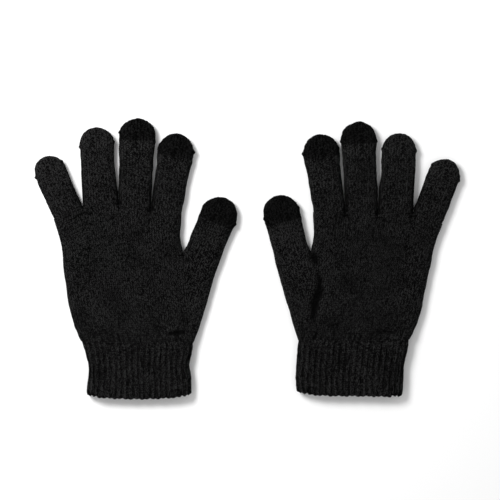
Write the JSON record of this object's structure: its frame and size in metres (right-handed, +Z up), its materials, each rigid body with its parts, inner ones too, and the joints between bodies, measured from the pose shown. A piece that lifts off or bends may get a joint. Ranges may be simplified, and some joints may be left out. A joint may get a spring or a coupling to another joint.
{
  "type": "touchscreen gloves",
  "caption": "Pair of black fine-knit touchscreen gloves laid flat, with ribbed cuffs and blacker conductive tips on the thumb, index and middle fingers.",
  "frame": {"origin": "middle of the pair's footprint, on the surface the gloves lie on", "axes": "+X across the pair from the right-hand glove to the left-hand glove, +Y from the cuffs to the fingertips, +Z up out of the palms"},
  "size_m": [0.3171, 0.2097, 0.011],
  "materials": {
    "charcoal_knit": "matte fine-gauge knit",
    "conductive_knit": "matte fine-gauge knit in conductive yarn",
    "elastic": "covered elastic thread",
    "stitching": "matte sewing thread"
  },
  "bodies": {
    "right_hand": {"right_palm": "charcoal_knit", "right_cuff": "charcoal_knit", "right_elastic_thread": "elastic", "right_stitch_thumb": "stitching", "right_stitch_index": "stitching", "right_stitch_middle": "stitching", "right_stitch_ring": "stitching"},
    "right_thumb": {"right_thumb_sleeve": "charcoal_knit", "right_thumb_tip": "conductive_knit"},
    "right_index": {"right_index_sleeve": "charcoal_knit", "right_index_tip": "conductive_knit"},
    "right_middle": {"right_middle_sleeve": "charcoal_knit", "right_middle_tip": "conductive_knit"},
    "right_ring": {"right_ring_sleeve": "charcoal_knit", "right_ring_tip": "charcoal_knit"},
    "right_little": {"right_little_sleeve": "charcoal_knit", "right_little_tip": "charcoal_knit"},
    "left_hand": {"left_palm": "charcoal_knit", "left_cuff": "charcoal_knit", "left_elastic_thread": "elastic", "left_stitch_thumb": "stitching", "left_stitch_index": "stitching", "left_stitch_middle": "stitching", "left_stitch_ring": "stitching"},
    "left_thumb": {"left_thumb_sleeve": "charcoal_knit", "left_thumb_tip": "conductive_knit"},
    "left_index": {"left_index_sleeve": "charcoal_knit", "left_index_tip": "conductive_knit"},
    "left_middle": {"left_middle_sleeve": "charcoal_knit", "left_middle_tip": "conductive_knit"},
    "left_ring": {"left_ring_sleeve": "charcoal_knit", "left_ring_tip": "charcoal_knit"},
    "left_little": {"left_little_sleeve": "charcoal_knit", "left_little_tip": "charcoal_knit"}
  },
  "joints": [
    {"name": "right_thumb_fold", "type": "hinge", "parent": "right_hand", "child": "right_thumb", "pos_m": [-0.048, 0.00495, 0.009], "axis": [0.1207, -0.9927, 0], "range_deg": [0, 55]},
    {"name": "right_index_bend", "type": "hinge", "parent": "right_hand", "child": "right_index", "pos_m": [-0.0604, 0.03485, 0.009], "axis": [1, 0, 0], "range_deg": [0, 90]},
    {"name": "right_middle_bend", "type": "hinge", "parent": "right_hand", "child": "right_middle", "pos_m": [-0.0839, 0.03625, 0.009], "axis": [1, 0, 0], "range_deg": [0, 90]},
    {"name": "right_ring_bend", "type": "hinge", "parent": "right_hand", "child": "right_ring", "pos_m": [-0.1091, 0.03855, 0.009], "axis": [1, 0, 0], "range_deg": [0, 90]},
    {"name": "right_little_bend", "type": "hinge", "parent": "right_hand", "child": "right_little", "pos_m": [-0.1332, 0.02955, 0.009], "axis": [1, 0, 0], "range_deg": [0, 90]},
    {"name": "left_thumb_fold", "type": "hinge", "parent": "left_hand", "child": "left_thumb", "pos_m": [0.0474, 0.00575, 0.009], "axis": [0.1436, 0.9896, 0], "range_deg": [0, 55]},
    {"name": "left_index_bend", "type": "hinge", "parent": "left_hand", "child": "left_index", "pos_m": [0.06115, 0.03485, 0.009], "axis": [1, 0, 0], "range_deg": [0, 90]},
    {"name": "left_middle_bend", "type": "hinge", "parent": "left_hand", "child": "left_middle", "pos_m": [0.08505, 0.03255, 0.009], "axis": [1, 0, 0], "range_deg": [0, 90]},
    {"name": "left_ring_bend", "type": "hinge", "parent": "left_hand", "child": "left_ring", "pos_m": [0.1102, 0.03255, 0.009], "axis": [1, 0, 0], "range_deg": [0, 90]},
    {"name": "left_little_bend", "type": "hinge", "parent": "left_hand", "child": "left_little", "pos_m": [0.1342, 0.02585, 0.009], "axis": [1, 0, 0], "range_deg": [0, 90]},
    {"name": "left_glove_lift", "type": "slide", "parent": "right_hand", "child": "left_hand", "axis": [0, 0, 1], "range_m": [0, 0.15]}
  ]
}
